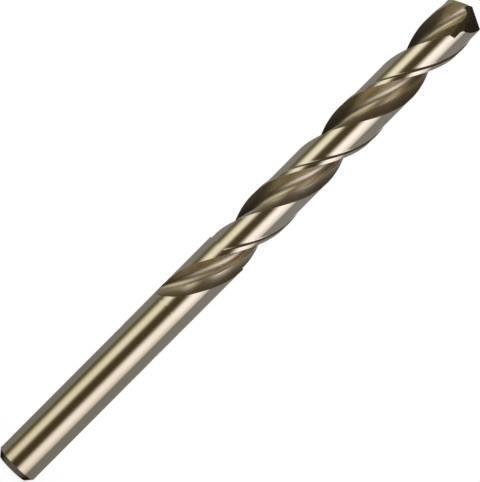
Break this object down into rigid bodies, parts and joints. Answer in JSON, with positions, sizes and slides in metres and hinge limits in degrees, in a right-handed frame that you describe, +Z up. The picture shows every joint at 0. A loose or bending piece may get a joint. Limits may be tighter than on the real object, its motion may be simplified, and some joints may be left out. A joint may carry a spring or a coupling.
{
  "type": "twist drill bit",
  "caption": "Right-hand twist drill with helical flutes, ground margins, a split point and a plain round shank with a chamfered end.",
  "frame": {"origin": "centre of the flat shank end, on the drill's axis; the drill stands on this face", "axes": "+Z up the axis from the shank to the point; -Y is the front"},
  "size_m": [0.009, 0.009, 0.125],
  "materials": {
    "cobalt_steel": "finely ground high-speed steel with a light straw temper colour, brighter on the lands, darker in the flutes"
  },
  "bodies": {
    "root": {"twist_drill": "cobalt_steel"}
  },
  "joints": []
}
